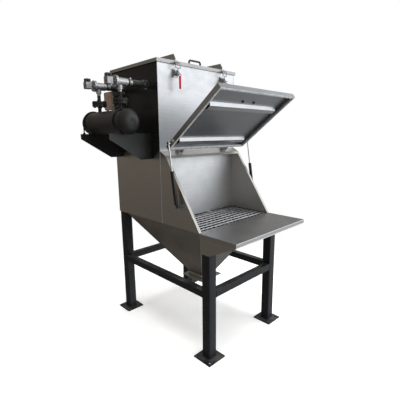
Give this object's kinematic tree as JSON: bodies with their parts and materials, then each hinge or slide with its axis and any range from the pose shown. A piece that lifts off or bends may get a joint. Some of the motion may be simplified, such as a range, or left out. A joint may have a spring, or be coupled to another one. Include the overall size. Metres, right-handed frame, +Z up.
{
  "type": "bag dump station",
  "caption": "Stainless bag dump station: hood with swing-up door on gas struts, grate, hopper, pulse-jet filter housing above, air tank and valves on the side, painted leg stand.",
  "frame": {"origin": "on the floor, at the centre of the anchor pattern of the four foot plates", "axes": "+Z up; -Y towards the operator (door, shelf, lid clamps); -X the side with the air tank and pulse valves"},
  "size_m": [1.324, 1.517, 2.361],
  "materials": {
    "stainless_sheet": "brushed",
    "lid_stainless": "brushed",
    "black_painted_side": "satin",
    "painted_frame": "satin",
    "galvanised_grate": "worn",
    "painted_tank": "semi-gloss",
    "zinc_steel": "satin",
    "plated_pipe": "satin",
    "cast_aluminium": "as cast",
    "solenoid_plastic": "matt",
    "hose_rubber": "matt",
    "seal_rubber": "matt",
    "black_handle": "satin",
    "red_grip": "gloss",
    "strut_black": "gloss",
    "strut_rod_chrome": "polished",
    "brass_cock": "satin",
    "filter_media": "pleated",
    "controller_case": "satin",
    "door_seal_grey": "matt"
  },
  "bodies": {
    "station": {"air_tank": "painted_tank", "baffle": "stainless_sheet", "blow_pipes": "plated_pipe", "clamp_bases": "zinc_steel", "clean_air_outlet": "stainless_sheet", "door_hinge_brackets": "zinc_steel", "drain_cock": "brass_cock", "filter_cartridges": "filter_media", "foot_plates": "painted_frame", "grate_rails": "galvanised_grate", "header_ledge": "stainless_sheet", "hood_wing_left": "stainless_sheet", "hood_wing_right": "stainless_sheet", "hopper": "stainless_sheet", "hopper_outlet": "stainless_sheet", "hose_clamps": "zinc_steel", "legs": "painted_frame", "lid_hinge_frames": "zinc_steel", "lower_rear": "stainless_sheet", "lower_side_panels": "stainless_sheet", "pulse_controller": "controller_case", "pulse_hoses": "hose_rubber", "pulse_risers": "painted_tank", "pulse_valves": "cast_aluminium", "shelf": "stainless_sheet", "shelf_brackets": "stainless_sheet", "stand_braces": "painted_frame", "strut_anchors": "zinc_steel", "tank_gussets": "painted_tank", "tank_u_bolts": "painted_tank", "tube_sheet": "plated_pipe", "union_bolts": "painted_tank", "upper_front_panel": "stainless_sheet", "upper_left_panel": "black_painted_side", "upper_rear_panel": "stainless_sheet", "upper_right_panel": "stainless_sheet", "valve_covers": "cast_aluminium", "valve_solenoids": "solenoid_plastic"},
    "door": {"door_panel": "stainless_sheet", "door_gasket": "door_seal_grey", "door_stiffeners": "stainless_sheet", "door_handle": "black_handle", "door_hinge_leaves": "zinc_steel", "door_studs": "zinc_steel"},
    "strut_cylinder_left": {"strut_cylinder_left": "strut_black"},
    "strut_cylinder_right": {"strut_cylinder_right": "strut_black"},
    "strut_rod_left": {"strut_rod_left": "strut_rod_chrome"},
    "strut_rod_right": {"strut_rod_right": "strut_rod_chrome"},
    "lid": {"lid": "lid_stainless", "lid_gasket": "seal_rubber", "lid_handle": "black_handle", "lid_hinge_leaves": "zinc_steel", "keeper_brackets": "lid_stainless"},
    "clamp_lever_left": {"clamp_lever_left": "zinc_steel", "clamp_grip_left": "red_grip"},
    "clamp_lever_right": {"clamp_lever_right": "zinc_steel", "clamp_grip_right": "red_grip"},
    "clamp_hook_left": {"clamp_hook_left": "zinc_steel"},
    "clamp_hook_right": {"clamp_hook_right": "zinc_steel"},
    "grate": {"grate": "galvanised_grate"}
  },
  "joints": [
    {"name": "door_swing", "type": "hinge", "parent": "station", "child": "door", "pos_m": [0, -0.15, 1.625], "axis": [1, 0, 0], "range_deg": [0, 93]},
    {"name": "strut_swing_left", "type": "hinge", "parent": "station", "child": "strut_cylinder_left", "pos_m": [-0.482, -0.305, 1.196], "axis": [1, 0, 0], "range_deg": [-8.69, 0]},
    {"name": "strut_slide_left", "type": "slide", "parent": "strut_cylinder_left", "child": "strut_rod_left", "axis": [0, 0.1548, 0.9879], "range_m": [-0.12129, 0]},
    {"name": "strut_swing_right", "type": "hinge", "parent": "station", "child": "strut_cylinder_right", "pos_m": [0.482, -0.305, 1.196], "axis": [1, 0, 0], "range_deg": [-8.69, 0]},
    {"name": "strut_slide_right", "type": "slide", "parent": "strut_cylinder_right", "child": "strut_rod_right", "axis": [0, 0.1548, 0.9879], "range_m": [-0.12129, 0]},
    {"name": "lid_swing", "type": "hinge", "parent": "station", "child": "lid", "pos_m": [0, 0.613, 2.288], "axis": [-1, 0, 0], "range_deg": [0, 100]},
    {"name": "clamp_lever_left", "type": "hinge", "parent": "station", "child": "clamp_lever_left", "pos_m": [-0.275, -0.108, 2.215], "axis": [-1, 0, 0], "range_deg": [0, 90]},
    {"name": "clamp_hook_left", "type": "hinge", "parent": "clamp_lever_left", "child": "clamp_hook_left", "pos_m": [-0.275, -0.121, 2.202], "axis": [-1, 0, 0], "range_deg": [-92.7, 0]},
    {"name": "clamp_lever_right", "type": "hinge", "parent": "station", "child": "clamp_lever_right", "pos_m": [0.275, -0.108, 2.215], "axis": [-1, 0, 0], "range_deg": [0, 90]},
    {"name": "clamp_hook_right", "type": "hinge", "parent": "clamp_lever_right", "child": "clamp_hook_right", "pos_m": [0.275, -0.121, 2.202], "axis": [-1, 0, 0], "range_deg": [-92.7, 0]},
    {"name": "grate_lift", "type": "slide", "parent": "station", "child": "grate", "axis": [0, 0, 1], "range_m": [0, 0.085]}
  ],
  "couplings": [
    {"joint": "strut_swing_left", "follows": "door_swing", "ratio": -0.092937},
    {"joint": "strut_slide_left", "follows": "door_swing", "m_per_rad": -0.074601},
    {"joint": "strut_swing_right", "follows": "door_swing", "ratio": -0.092937},
    {"joint": "strut_slide_right", "follows": "door_swing", "m_per_rad": -0.074601},
    {"joint": "clamp_hook_left", "follows": "clamp_lever_left", "ratio": -1.03},
    {"joint": "clamp_hook_right", "follows": "clamp_lever_right", "ratio": -1.03}
  ]
}
